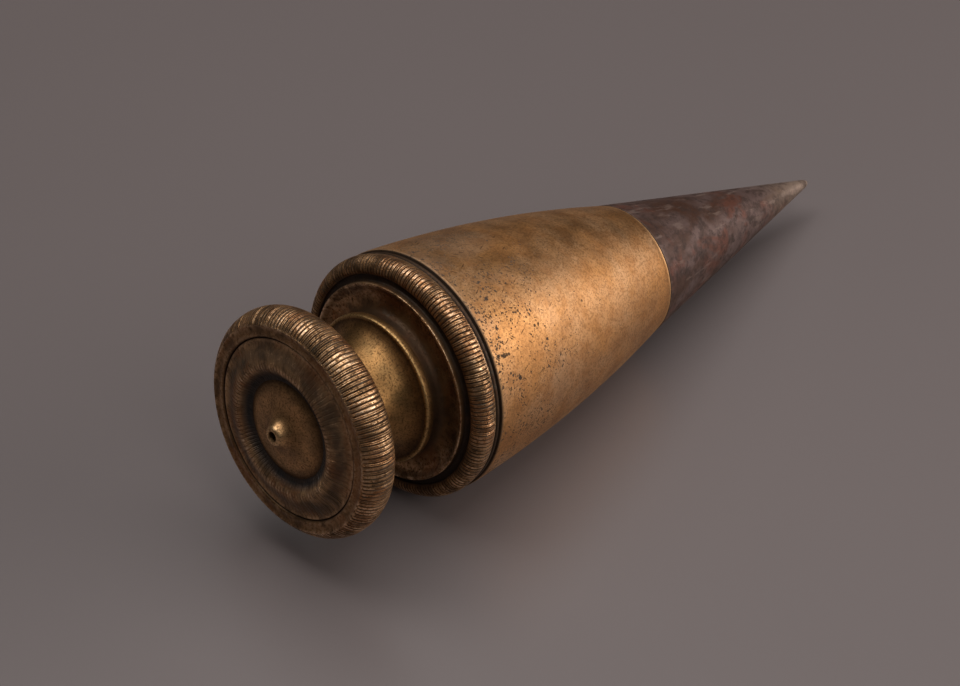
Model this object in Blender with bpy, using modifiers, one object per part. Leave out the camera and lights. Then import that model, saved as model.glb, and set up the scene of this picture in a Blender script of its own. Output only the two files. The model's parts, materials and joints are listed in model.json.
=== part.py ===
"""A steel-pointed brass plumb bob with a knurled screw cap, lying on its side.

Every turned piece is drawn as half of its section, radius against height, in one
upright drawing frame: its axis is the axis of the bob, height 0 is the seam between
the body and the cap, the knob is up and the point is down. All pieces hang on one
empty, and the empty lays the assembled bob on its belly with the point towards +X.
"""
import math

import bmesh
import bpy
from mathutils import Vector

# ---- Driving dimensions, in millimetres ------------------------------------------
MM = 0.001                      # millimetres to Blender's metres
GAP = 0.3                       # clearance between pieces that touch
SIDES = 32                      # facets round every turned piece

SEAM_RADIUS = 25.0              # widest place of the body, at the seam
SEAM_GAP = 0.15                 # half of the fine line between body and cap
BODY_LENGTH = 61.1              # seam to the brass and steel joint
BELLY_TAPER = 0.062             # first term of the belly's curve
BELLY_CURVE = 0.0435            # second term of the belly's curve
BELLY_STEPS = 6                 # straight stretches along the belly
REST_STEP = 2                   # the stretch that the bob lies on, counted from 0

MOUTH_RADIUS = 16.3             # tapped mouth that takes the cap's skirt
MOUTH_DEPTH = 11.5
KNOT_ROOM_RADIUS = 9.0          # drilled room below the mouth, for the line's knot
KNOT_ROOM_DEPTH = 22.0
DRILL_POINT_DEPTH = 24.5
SEAT_RADIUS = 23.0              # recess round the mouth that holds the washer
SEAT_DEPTH = 1.25

WASHER_THICKNESS = 0.8
SKIRT_RADIUS = 16.0             # male thread of the cap, at its crests
SKIRT_BORE_RADIUS = 12.5
SKIRT_LENGTH = 10.0
CROWN_UNDERSIDE = 2.5           # ceiling of the cap's hollow
PEDESTAL_TOP = 8.2              # where the neck stands on the cap

SOCKET_DEPTH = 2.3              # sockets for the neck's two spigots
PEDESTAL_RADIUS = 14.2
DISH_FLOOR = 5.2                # hollow ring between the pedestal and the lip
DISH_INNER_RADIUS = 15.6
DISH_OUTER_RADIUS = 17.4
LIP_RING_RADIUS = 20.4          # thin raised lip outside the dish
LIP_RING_TOP = 6.4
TRENCH_FLOOR = 4.85             # narrow groove between the lip and the bead

BEAD_RADIUS = 25.0              # knurled bead round the cap
BEAD_CENTRE = 3.0
BEAD_HALF_WIDTH = 2.55
BEAD_HALF_HEIGHT = 2.5
BAND_RADIUS = 24.55             # plain band under the bead
BAND_TOP = 1.1

SPIGOT_RADIUS = 7.5             # spigots that centre cap, neck and knob
SPIGOT_HEIGHT = 2.0
FLANGE_RADIUS = 15.3            # foot of the neck
FLANGE_LIP_RADIUS = 15.1
FLANGE_TOP = 10.1
FLANGE_ROUNDING = 0.4
WAIST_RADIUS = 10.4             # narrowest place of the neck
WAIST_HEIGHT = 20.6
WAIST_FOOT_RADIUS = 14.6        # where the waist's curve meets the foot
WAIST_FOOT_HEIGHT = 10.25
WAIST_CURVE = 2.2               # how late the waist flares towards the foot
WAIST_STEPS = 6
NECK_TOP_RADIUS = 11.4
NECK_TOP = 23.2
NECK_FLARE_RADIUS = 10.75       # between the waist and the top
NECK_FLARE_HEIGHT = 21.9

KNOB_RADIUS = 23.2
RIM_CENTRE = 28.1               # middle of the knob's knurled rim
RIM_HALF_WIDTH = 2.55
RIM_HALF_HEIGHT = 3.7
KNOB_UNDERSIDE_RADIUS = 17.0
KNOB_UNDERSIDE_RISE = 0.3
LIP_OUTER_RADIUS = 20.6         # smooth lip inside the rim, hollowed a little
LIP_TOP = 32.1
LIP_INNER_RADIUS = 18.8
LIP_CHAMFER = 0.4
FACE_POCKET_RADIUS = 18.35      # pocket in the knob's face
FACE_POCKET_FLOOR = 29.6

FACE_RING_BORE = 10.1           # round the head of the spindle
FACE_RING_EDGE = 31.5
FACE_RING_CREST = 33.3
FACE_RING_LEDGE = 30.9          # ledge that the spindle's head clamps

SPINDLE_RADIUS = 4.0
SPINDLE_BORE_RADIUS = 1.5
SPINDLE_END = -4.6
HEAD_RADIUS = 9.7               # disc in the middle of the knob's face
HEAD_EDGE_TOP = 32.3
HEAD_DOME_RADIUS = 7.6          # the disc rises from its edge towards the nipple
HEAD_DOME_TOP = 32.7
NIPPLE_FOOT_RADIUS = 4.9        # the nipple's hollow cone
NIPPLE_FOOT_TOP = 33.05
NIPPLE_CONE_RADIUS = 3.0
NIPPLE_CONE_TOP = 33.8
NIPPLE_NECK_RADIUS = 2.3
NIPPLE_NECK_TOP = 34.7
NIPPLE_RADIUS = 1.75
NIPPLE_TOP = 35.6
LINE_HOLE_RADIUS = 0.8
LINE_HOLE_DEPTH = 5.0
LINE_HOLE_CONE = 0.5            # the drill's cone between the two bores

NUT_ACROSS_FLATS = 13.0
NUT_HEIGHT = 4.0
NUT_WASHER_RADIUS = 8.0
NUT_WASHER_THICKNESS = 1.0

STUD_RADIUS = 5.0               # threaded stud of the steel point
STUD_LENGTH = 14.0
STUD_HOLE_DEPTH = 16.0
POINT_RADIUS = 14.8             # point at the joint, flush with the brass
POINT_LENGTH = 64.9
TIP_RADIUS = 0.75
CHAMFER = 0.3

BORE_RADIUS = SPINDLE_RADIUS + GAP


# ---- Scene, materials and turning ------------------------------------------------
def clear_scene():
    for old in list(bpy.data.objects):
        bpy.data.objects.remove(old, do_unlink=True)


def new_collection(name):
    group = bpy.data.collections.new(name)
    bpy.context.scene.collection.children.link(group)
    return group


def material(name, colour, roughness, metallic=1.0):
    finish = bpy.data.materials.new(name)
    finish.use_nodes = True
    shader = finish.node_tree.nodes["Principled BSDF"]
    shader.inputs["Base Color"].default_value = (*colour, 1.0)
    shader.inputs["Roughness"].default_value = roughness
    shader.inputs["Metallic"].default_value = metallic
    return finish


def arc(radius, height, half_width, half_height, start, end, points):
    """Points of an ellipse round (radius, height); angles in degrees from outward."""
    angles = [math.radians(start + (end - start) * i / (points - 1)) for i in range(points)]
    return [(radius + half_width * math.cos(a), height + half_height * math.sin(a))
            for a in angles]


def turned(name, section, finish, rig, parts, ring=False):
    """A piece turned from a section of (radius, height) points, down its outer side."""
    mesh = bpy.data.meshes.new(name)
    points = [(radius * MM, 0.0, height * MM) for radius, height in section]
    edges = [(i, i + 1) for i in range(len(points) - 1)]
    if ring:
        edges.append((len(points) - 1, 0))
    mesh.from_pydata(points, edges, [])
    piece = bpy.data.objects.new(name, mesh)
    parts.objects.link(piece)
    turn = piece.modifiers.new("Turn", "SCREW")
    turn.axis = "Z"
    turn.steps = SIDES
    turn.render_steps = SIDES
    turn.use_merge_vertices = True
    turn.merge_threshold = 0.00001
    turn.use_smooth_shade = False
    piece.data.materials.append(finish)
    piece.parent = rig
    piece.rotation_euler.z = math.pi / SIDES    # puts a facet, not an edge, underneath
    return piece


# ---- Sections --------------------------------------------------------------------
def belly_radius(depth):
    """Radius of the brass body at a depth below the seam."""
    share = depth / SEAM_RADIUS
    return SEAM_RADIUS * (1.0 - BELLY_TAPER * share - BELLY_CURVE * share ** 2)


def belly_points():
    """The belly as (radius, height), from the seam down to the steel joint."""
    depths = [BODY_LENGTH * i / BELLY_STEPS for i in range(BELLY_STEPS + 1)]
    depths[0] = SEAM_GAP + CHAMFER
    depths[-1] = BODY_LENGTH - CHAMFER
    return [(belly_radius(depth), -depth) for depth in depths]


def body_section():
    foot = belly_radius(BODY_LENGTH) - CHAMFER
    mouth = [(0.0, -DRILL_POINT_DEPTH),
             (KNOT_ROOM_RADIUS, -KNOT_ROOM_DEPTH),
             (KNOT_ROOM_RADIUS, -MOUTH_DEPTH),
             (MOUTH_RADIUS, -MOUTH_DEPTH),
             (MOUTH_RADIUS, -SEAT_DEPTH),
             (SEAT_RADIUS, -SEAT_DEPTH),
             (SEAT_RADIUS, -SEAM_GAP),
             (SEAM_RADIUS - CHAMFER, -SEAM_GAP)]
    stud_hole = [(foot, -BODY_LENGTH),
                 (STUD_RADIUS + GAP, -BODY_LENGTH),
                 (STUD_RADIUS + GAP, STUD_HOLE_DEPTH - BODY_LENGTH),
                 (0.0, STUD_HOLE_DEPTH - BODY_LENGTH)]
    return mouth + belly_points() + stud_hole


def point_section():
    top = -BODY_LENGTH - GAP
    stud_top = top + STUD_LENGTH
    tip = top - POINT_LENGTH
    return [(0.0, stud_top),
            (STUD_RADIUS - 2 * CHAMFER, stud_top),
            (STUD_RADIUS, stud_top - 2 * CHAMFER),
            (STUD_RADIUS, top),
            (POINT_RADIUS - CHAMFER, top),
            (POINT_RADIUS, top - CHAMFER),
            (TIP_RADIUS, tip),
            (0.0, tip)]


def washer_section():
    top = -SEAM_GAP
    bottom = top - WASHER_THICKNESS
    inner = SKIRT_RADIUS + GAP
    outer = SEAT_RADIUS - GAP
    return [(inner, top), (outer, top), (outer, bottom), (inner, bottom)]


def cap_section():
    """Cap from the bore over the pedestal, dish, bead and band, and round the skirt."""
    socket_floor = PEDESTAL_TOP - SOCKET_DEPTH
    pedestal = [(BORE_RADIUS, socket_floor),
                (SPIGOT_RADIUS + GAP, socket_floor),
                (SPIGOT_RADIUS + GAP, PEDESTAL_TOP),
                (PEDESTAL_RADIUS, PEDESTAL_TOP),
                (PEDESTAL_RADIUS + CHAMFER, DISH_FLOOR + 4 * CHAMFER)]
    dish = [(DISH_INNER_RADIUS, DISH_FLOOR),
            (DISH_OUTER_RADIUS, DISH_FLOOR),
            (LIP_RING_RADIUS - 4 * CHAMFER, LIP_RING_TOP - 2 * CHAMFER),
            (LIP_RING_RADIUS - CHAMFER, LIP_RING_TOP),
            (LIP_RING_RADIUS, LIP_RING_TOP - CHAMFER),
            (LIP_RING_RADIUS, TRENCH_FLOOR)]
    bead = arc(BEAD_RADIUS - BEAD_HALF_WIDTH, BEAD_CENTRE, BEAD_HALF_WIDTH, BEAD_HALF_HEIGHT,
               95, -32, 7)
    band = [(BAND_RADIUS, BAND_TOP), (BAND_RADIUS, SEAM_GAP)]
    skirt = [(SKIRT_RADIUS, SEAM_GAP),
             (SKIRT_RADIUS, CHAMFER - SKIRT_LENGTH),
             (SKIRT_RADIUS - CHAMFER, -SKIRT_LENGTH),
             (SKIRT_BORE_RADIUS, -SKIRT_LENGTH),
             (SKIRT_BORE_RADIUS, CROWN_UNDERSIDE),
             (BORE_RADIUS, CROWN_UNDERSIDE)]
    return pedestal + dish + bead + band + skirt


def neck_section():
    """A spool: top spigot, waist curve, flanged foot and bottom spigot, bored through."""
    flare = [(NECK_TOP_RADIUS, NECK_TOP), (NECK_FLARE_RADIUS, NECK_FLARE_HEIGHT)]
    for i in range(WAIST_STEPS + 1):
        share = i / WAIST_STEPS
        radius = WAIST_RADIUS + (WAIST_FOOT_RADIUS - WAIST_RADIUS) * share ** WAIST_CURVE
        flare.append((radius, WAIST_HEIGHT + (WAIST_FOOT_HEIGHT - WAIST_HEIGHT) * share))
    foot = [(FLANGE_LIP_RADIUS, FLANGE_TOP),
            (FLANGE_RADIUS, FLANGE_TOP - FLANGE_ROUNDING),
            (FLANGE_RADIUS, PEDESTAL_TOP + GAP)]
    bottom = PEDESTAL_TOP + GAP
    spigots = [(SPIGOT_RADIUS, bottom),
               (SPIGOT_RADIUS, bottom - SPIGOT_HEIGHT),
               (BORE_RADIUS, bottom - SPIGOT_HEIGHT),
               (BORE_RADIUS, NECK_TOP + SPIGOT_HEIGHT),
               (SPIGOT_RADIUS, NECK_TOP + SPIGOT_HEIGHT),
               (SPIGOT_RADIUS, NECK_TOP)]
    return flare + foot + spigots


def knob_section():
    """A mushroom: pocket in the face, smooth lip, knurled rim and hollow underside."""
    under = NECK_TOP + GAP
    pocket = [(BORE_RADIUS, FACE_POCKET_FLOOR),
              (FACE_POCKET_RADIUS, FACE_POCKET_FLOOR),
              (FACE_POCKET_RADIUS, LIP_TOP - LIP_CHAMFER)]
    lip = [(LIP_INNER_RADIUS, LIP_TOP), (LIP_OUTER_RADIUS, LIP_TOP)]
    rim = arc(KNOB_RADIUS - RIM_HALF_WIDTH, RIM_CENTRE, RIM_HALF_WIDTH, RIM_HALF_HEIGHT,
              61, -77, 9)
    underside = [(KNOB_UNDERSIDE_RADIUS, under + KNOB_UNDERSIDE_RISE),
                 (NECK_TOP_RADIUS + GAP, under),
                 (SPIGOT_RADIUS + GAP, under),
                 (SPIGOT_RADIUS + GAP, under + SPIGOT_HEIGHT),
                 (BORE_RADIUS, under + SPIGOT_HEIGHT)]
    return pocket + lip + rim + underside


def face_ring_section():
    """The low convex ring let into the knob's face, with a ledge inside."""
    bottom = FACE_POCKET_FLOOR + GAP
    outer = FACE_POCKET_RADIUS - GAP
    middle = (FACE_RING_BORE + outer) / 2
    half_width = (outer - FACE_RING_BORE) / 2
    crown = arc(middle, FACE_RING_EDGE, half_width, FACE_RING_CREST - FACE_RING_EDGE, 180, 0, 9)
    return [(BORE_RADIUS, FACE_RING_LEDGE),
            (FACE_RING_BORE, FACE_RING_LEDGE)] + crown + [(outer, bottom), (BORE_RADIUS, bottom)]


def spindle_section():
    """Hollow spindle: the disc and nipple on the face, and the shank down to the nut."""
    head_bottom = FACE_RING_LEDGE + GAP
    nipple = [(NIPPLE_RADIUS, NIPPLE_TOP),
              (NIPPLE_NECK_RADIUS, NIPPLE_NECK_TOP),
              (NIPPLE_CONE_RADIUS, NIPPLE_CONE_TOP),
              (NIPPLE_FOOT_RADIUS, NIPPLE_FOOT_TOP)]
    head = [(HEAD_DOME_RADIUS, HEAD_DOME_TOP),
            (HEAD_RADIUS, HEAD_EDGE_TOP),
            (HEAD_RADIUS, head_bottom)]
    shank = [(SPINDLE_RADIUS, head_bottom),
             (SPINDLE_RADIUS, SPINDLE_END + CHAMFER),
             (SPINDLE_RADIUS - CHAMFER, SPINDLE_END)]
    bore = [(SPINDLE_BORE_RADIUS, SPINDLE_END),
            (SPINDLE_BORE_RADIUS, NIPPLE_TOP - LINE_HOLE_DEPTH - LINE_HOLE_CONE),
            (LINE_HOLE_RADIUS, NIPPLE_TOP - LINE_HOLE_DEPTH),
            (LINE_HOLE_RADIUS, NIPPLE_TOP)]
    return nipple + head + shank + bore


def nut_washer_section():
    top = CROWN_UNDERSIDE - GAP
    bottom = top - NUT_WASHER_THICKNESS
    return [(BORE_RADIUS, top), (NUT_WASHER_RADIUS, top),
            (NUT_WASHER_RADIUS, bottom), (BORE_RADIUS, bottom)]


def hexagon_nut(name, finish, rig, parts, cutters):
    """A plain hexagon nut, bored right through with a round cutter."""
    top = CROWN_UNDERSIDE - NUT_WASHER_THICKNESS - 2 * GAP
    middle = Vector((0.0, 0.0, (top - NUT_HEIGHT / 2) * MM))
    corner = NUT_ACROSS_FLATS / math.sqrt(3.0)
    shapes = []
    for label, segments, radius, height, group in (
            (name, 6, corner, NUT_HEIGHT, parts),
            (name + "_bore_cutter", SIDES, BORE_RADIUS, 2 * NUT_HEIGHT, cutters)):
        mesh = bpy.data.meshes.new(label)
        form = bmesh.new()
        bmesh.ops.create_cone(form, cap_ends=True, segments=segments, radius1=radius * MM,
                              radius2=radius * MM, depth=height * MM)
        form.to_mesh(mesh)
        form.free()
        shape = bpy.data.objects.new(label, mesh)
        group.objects.link(shape)
        shape.parent = rig
        shape.location = middle
        shapes.append(shape)
    nut, cutter = shapes
    nut.data.materials.append(finish)
    cutter.hide_render = True
    cutter.display_type = "WIRE"
    bore = nut.modifiers.new("Bore", "BOOLEAN")
    bore.operation = "DIFFERENCE"
    bore.solver = "EXACT"
    bore.object = cutter
    return nut


# ---- Shading and placing ---------------------------------------------------------
def smooth(pieces, sharp_degrees=30.0):
    """Bake each section into its mesh and shade the round faces smooth."""
    depsgraph = bpy.context.evaluated_depsgraph_get()
    for piece in pieces:
        mesh = bpy.data.meshes.new_from_object(piece.evaluated_get(depsgraph))
        piece.modifiers.clear()
        piece.data = mesh
        mesh.shade_smooth()
        mesh.set_sharp_from_angle(angle=math.radians(sharp_degrees))


def lay_down(rig, pieces):
    """Tip the upright bob on to its belly, then centre its box over the origin."""
    upper, lower = belly_points()[REST_STEP:REST_STEP + 2]
    flat_share = math.cos(math.pi / SIDES)      # a facet lies nearer the axis than its edges
    slope = math.atan2((upper[0] - lower[0]) * flat_share, upper[1] - lower[1])
    rig.rotation_euler = (0.0, slope - math.pi / 2, 0.0)
    bpy.context.view_layer.update()
    corners = [piece.matrix_world @ vertex.co for piece in pieces for vertex in piece.data.vertices]
    low = [min(corner[axis] for corner in corners) for axis in range(3)]
    high = [max(corner[axis] for corner in corners) for axis in range(3)]
    rig.location = (-(low[0] + high[0]) / 2, -(low[1] + high[1]) / 2, -low[2])
    bpy.context.view_layer.update()


def build():
    clear_scene()
    parts = new_collection("plumb_bob")
    cutters = new_collection("cutters")
    rig = bpy.data.objects.new("bob_axis", None)
    rig.empty_display_size = 0.03
    parts.objects.link(rig)

    aged_brass = material("aged_brass", (0.42, 0.26, 0.11), 0.42)
    dark_brass = material("dark_brass", (0.24, 0.14, 0.07), 0.5)
    rusted_steel = material("rusted_steel", (0.10, 0.06, 0.05), 0.6)
    leather = material("leather", (0.10, 0.05, 0.03), 0.8, metallic=0.0)

    turned_pieces = [
        turned("body", body_section(), aged_brass, rig, parts),
        turned("steel_point", point_section(), rusted_steel, rig, parts),
        turned("seat_washer", washer_section(), leather, rig, parts, ring=True),
        turned("cap", cap_section(), dark_brass, rig, parts, ring=True),
        turned("neck", neck_section(), aged_brass, rig, parts, ring=True),
        turned("knob", knob_section(), dark_brass, rig, parts, ring=True),
        turned("face_ring", face_ring_section(), dark_brass, rig, parts, ring=True),
        turned("line_spindle", spindle_section(), aged_brass, rig, parts, ring=True),
        turned("nut_washer", nut_washer_section(), aged_brass, rig, parts, ring=True),
    ]
    nut = hexagon_nut("spindle_nut", aged_brass, rig, parts, cutters)
    pieces = turned_pieces + [nut]
    bpy.context.view_layer.update()
    smooth(pieces)
    lay_down(rig, pieces)


build()
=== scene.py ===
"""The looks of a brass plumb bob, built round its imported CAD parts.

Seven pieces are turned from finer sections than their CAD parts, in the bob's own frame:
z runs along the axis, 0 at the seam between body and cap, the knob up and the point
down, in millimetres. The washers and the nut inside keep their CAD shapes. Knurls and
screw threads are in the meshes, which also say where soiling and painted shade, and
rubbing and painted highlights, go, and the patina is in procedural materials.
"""
import json
import math

import bpy
import numpy as np
from mathutils import Matrix, Vector


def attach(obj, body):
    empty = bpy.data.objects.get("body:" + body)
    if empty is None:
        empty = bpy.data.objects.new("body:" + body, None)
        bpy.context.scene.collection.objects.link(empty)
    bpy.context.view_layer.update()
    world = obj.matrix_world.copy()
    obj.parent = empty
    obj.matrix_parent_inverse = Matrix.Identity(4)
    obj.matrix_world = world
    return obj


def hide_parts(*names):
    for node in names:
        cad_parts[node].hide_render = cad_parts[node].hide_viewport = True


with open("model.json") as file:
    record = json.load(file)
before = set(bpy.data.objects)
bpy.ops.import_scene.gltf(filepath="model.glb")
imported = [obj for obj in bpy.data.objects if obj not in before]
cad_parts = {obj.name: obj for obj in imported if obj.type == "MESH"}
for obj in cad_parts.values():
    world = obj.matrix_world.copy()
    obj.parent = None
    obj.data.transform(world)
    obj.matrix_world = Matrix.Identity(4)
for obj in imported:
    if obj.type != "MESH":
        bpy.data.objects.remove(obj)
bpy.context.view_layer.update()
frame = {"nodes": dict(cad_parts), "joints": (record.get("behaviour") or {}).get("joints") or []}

# ---- Sizes, in millimetres unless a name says otherwise ---------------------------
MM = 0.001                      # millimetres to Blender's metres
SEAM_GAP = 0.15                 # half of the line between body and cap
SEAM_RADIUS = 25.0              # body at the seam
BODY_LENGTH = 61.1              # seam to the joint with the steel point
BELLY_TAPER = 0.062             # how fast the body narrows at the seam
BELLY_CURVE = 0.0435            # how much faster it narrows further down
MOUTH_RADIUS = 16.3             # tapped mouth for the cap's skirt
SEAT_RADIUS = 23.0              # recess for the leather washer
SEAT_DEPTH = 1.25
STUD_RADIUS = 5.0               # threaded stud on the steel point
STUD_LENGTH = 14.0
STUD_HOLE_RADIUS = 5.3
POINT_RADIUS = 14.8             # steel cone where it meets the body
POINT_LENGTH = 64.9
TIP_RADIUS = 0.75
BORE_RADIUS = 4.3               # hole through the head for the spindle's shank
SPIGOT_RADIUS = 7.5             # short pins that centre the neck in cap and knob
SPIGOT_SOCKET_RADIUS = 7.8
THREAD_PITCH = 1.5
THREAD_DEPTH = 0.8
SKIRT_RADIUS = 16.0             # threaded skirt under the cap
SKIRT_BORE_RADIUS = 12.5
SKIRT_LENGTH = 10.0

CAP_RIDGES = 175                # knurl ridges round the cap's bead
KNOB_RIDGES = 163               # knurl ridges round the knob's rim
RING_RIDGES = 100               # knurl ridges round the face ring
SAMPLES_PER_RIDGE = 10          # columns of vertices per ridge
PLAIN_PER_RIDGE = 2             # columns per ridge where a knurled piece is plain
BODY_SIDES = 256
SMALL_SIDES = 128
KNURL_DEPTH = 0.15
FACE_KNURL_DEPTH = 0.1
KNURL_SHARPNESS = 2.4           # higher makes broader crests and narrower grooves
SECOND_GROOVE_DEPTH = 0.7       # of the tool's second track, against the main groove
RIDGE_WANDER = 0.35             # radians per row by which a ridge snakes across the rim
FADE_SHARE = 0.09               # share of a run's rows over which a knurl fades in and out
UNEVEN = 0.02                   # how far hand turning wanders from a true circle
BROAD_WAVE = 9.0                # wavelengths of that unevenness
NARROW_WAVE = 3.5
WAVE_COUNT = 14                 # waves added up for each
SHARP_EDGE_DEGREES = 34.0       # steeper edges between faces are not smoothed
SEED = 11                       # first seed; every piece has its own above it
SEED_STEP = 10

FLOOR_HEIGHT = -0.13            # the round body reaches below the CAD's flat resting facet
TABLE_HALF_WIDTH = 2.0          # metres

# Sockets of Blender's Mix node for colours, where names repeat
MIX_SHARE = 0
MIX_FIRST_COLOUR = 6
MIX_SECOND_COLOUR = 7
MIX_COLOUR = 2


# ---- Turning ---------------------------------------------------------------------
def curve(points, per_span):
    """A smooth line through control points, each (radius, height, soiling and painted shade,
    rubbing and painted highlight).
    """
    known = np.array(points, float)
    padded = np.vstack([2 * known[0] - known[1], known, 2 * known[-1] - known[-2]])
    line = []
    for i in range(len(known) - 1):
        before, start, end, after = padded[i:i + 4]
        for step in range(per_span):
            t = step / per_span
            line.append(0.5 * (2 * start + (end - before) * t
                               + (2 * before - 5 * start + 4 * end - after) * t ** 2
                               + (3 * start - before - 3 * end + after) * t ** 3))
    line.append(known[-1])
    return [tuple(point) for point in line]


def stretch(points, sides, ridges=0, depth=0.0, thread=False):
    """One run of a section: its points, and how the surface is worked round it."""
    return {"points": points, "sides": sides, "ridges": ridges, "depth": depth,
            "thread": thread}


def ripple(places, size, count, seed):
    """Gentle unevenness between -1 and 1 at each place; size is its wavelength in mm."""
    chance = np.random.default_rng(seed)
    total = np.zeros(len(places))
    for _ in range(count):
        direction = chance.normal(size=3)
        direction /= np.linalg.norm(direction)
        length = size * chance.uniform(0.6, 1.8)
        total += np.sin(places @ direction * 2 * math.pi / length + chance.uniform(0, 2 * math.pi))
    return total / count


def ridge_wear(ridges, seed):
    """Groove depth, shift and second groove of every ridge, hand rolled and then worn."""
    chance = np.random.default_rng(seed)
    depth = 1.0 + 0.3 * chance.normal(size=ridges)
    shift = 0.11 * chance.normal(size=ridges)
    second = 0.55 + 0.35 * chance.normal(size=ridges)
    return np.clip(depth, 0.35, 1.6), shift, np.clip(second, 0.0, 1.0)


def section_rows(run):
    """Row arrays of one stretch: points, outward normals and fade at both ends."""
    points = np.array(run["points"], float)
    along = np.gradient(points[:, :2], axis=0)
    along /= np.maximum(np.linalg.norm(along, axis=1, keepdims=True), 1e-9)
    normals = np.column_stack([-along[:, 1], along[:, 0]])
    share = np.linspace(0.0, 1.0, len(points))
    fade = np.clip(np.minimum(share, 1.0 - share) / FADE_SHARE, 0.0, 1.0)
    return points, normals, fade


def turned_mesh(name, runs, seed, closed):
    """A mesh turned from runs of section points, with an attribute for every finish.

    The runs follow each other from the knob end down the outside and back up the
    inside. Neighbouring runs may have different numbers of sides, where one is a whole
    multiple of the other; the strip between them then has faces with extra corners.
    A closed section meets its own start again; an open one is capped at both ends.
    """
    ring_starts, ring_sides = [], []
    places, grimes_and_shades, rubs_and_highlights, grooves, arcs, rounds = [], [], [], [], [], []
    travelled, last = 0.0, None
    count = 0
    for index, run in enumerate(runs):
        points, normals, fade = section_rows(run)
        sides = run["sides"]
        angles = np.arange(sides) * 2 * math.pi / sides
        halfway = np.where(angles > math.pi, angles - 2 * math.pi, angles)
        if run["ridges"]:
            depths, shifts, seconds = ridge_wear(run["ridges"], seed + index)
            turn = angles * run["ridges"] / (2 * math.pi)
            ridge = np.floor(turn + 1e-6).astype(int) % run["ridges"]
            within = turn - np.floor(turn + 1e-6)
            valley = np.abs(2 * within - 1) ** KNURL_SHARPNESS
            middle = np.clip(1.0 - 5.0 * np.abs(within - 0.5), 0.0, 1.0) * seconds[ridge]
            valley = np.maximum(valley, SECOND_GROOVE_DEPTH * middle)
        for row, (radius, height, grime_and_shade, rub) in enumerate(points):
            if last is not None:
                travelled += math.hypot(radius - last[0], height - last[1])
            last = (radius, height)
            groove = np.zeros(sides)
            sink = np.zeros(sides)
            if run["ridges"]:
                groove = valley * fade[row]
                sink = groove * depths[ridge] * run["depth"]
            if run["thread"]:
                wave = height / THREAD_PITCH - angles / (2 * math.pi)
                groove = 0.5 - 0.5 * np.cos(2 * math.pi * wave)
                sink = groove * fade[row] * THREAD_DEPTH
            shifted = angles.copy()
            if run["ridges"]:
                wander = math.sin(row * RIDGE_WANDER)
                shifted += shifts[ridge] * fade[row] * wander / run["ridges"]
            reach = radius - sink * normals[row, 0]
            rise = height - sink * normals[row, 1]
            ring = np.column_stack([reach * np.cos(shifted), reach * np.sin(shifted),
                                    np.broadcast_to(rise, sides)])
            ring_starts.append(count)
            ring_sides.append(sides)
            count += sides
            places.append(ring)
            grimes_and_shades.append(np.full(sides, grime_and_shade))
            rubs_and_highlights.append(np.full(sides, rub))
            grooves.append(groove)
            arcs.append(np.full(sides, travelled))
            rounds.append(halfway * SEAM_RADIUS)
    places = np.vstack(places)
    radial = places * np.array([1.0, 1.0, 0.0])
    radial /= np.maximum(np.linalg.norm(radial, axis=1, keepdims=True), 1e-9)
    lumps = (ripple(places, BROAD_WAVE, WAVE_COUNT, seed)
             + 0.5 * ripple(places, NARROW_WAVE, WAVE_COUNT, seed + 1))
    places = places + radial * (lumps * UNEVEN)[:, None]

    faces = ring_faces(ring_starts, ring_sides, closed)
    if not closed:
        faces += [tuple(range(ring_starts[0], ring_starts[0] + ring_sides[0])),
                  tuple(reversed(range(ring_starts[-1], ring_starts[-1] + ring_sides[-1])))]
    mesh = bpy.data.meshes.new(name)
    mesh.from_pydata((places * MM).tolist(), [], faces)
    labelled = (("grime_and_shade", grimes_and_shades), ("rub", rubs_and_highlights), ("groove", grooves), ("arc", arcs),
                ("round", rounds))
    for label, values in labelled:
        store(mesh, label, np.concatenate(values))
    return mesh


def ring_faces(starts, sides, closed):
    """Faces between each ring of vertices and the next, outward side out."""
    pairs = [(i, i + 1) for i in range(len(starts) - 1)]
    if closed:
        pairs.append((len(starts) - 1, 0))
    faces = []
    for upper, lower in pairs:
        above, below = sides[upper], sides[lower]
        first, second = starts[upper], starts[lower]
        coarse = min(above, below)
        up_step, down_step = above // coarse, below // coarse
        for i in range(coarse):
            top = [first + (i * up_step + k) % above for k in range(up_step + 1)]
            bottom = [second + (i * down_step + k) % below for k in range(down_step + 1)]
            faces.append(tuple(bottom + top[::-1]))
    return faces


def store(mesh, label, values):
    """Keep one number for every vertex, for the materials to read."""
    attribute = mesh.attributes.new(label, "FLOAT", "POINT")
    attribute.data.foreach_set("value", np.asarray(values, np.float32))


# ---- Sections, each point (radius, height, soiling and painted shade, rubbing and painted highlight) ---
def belly_radius(depth):
    """The body's radius at a depth below the seam."""
    share = depth / SEAM_RADIUS
    return SEAM_RADIUS * (1.0 - BELLY_TAPER * share - BELLY_CURVE * share ** 2)


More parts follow.
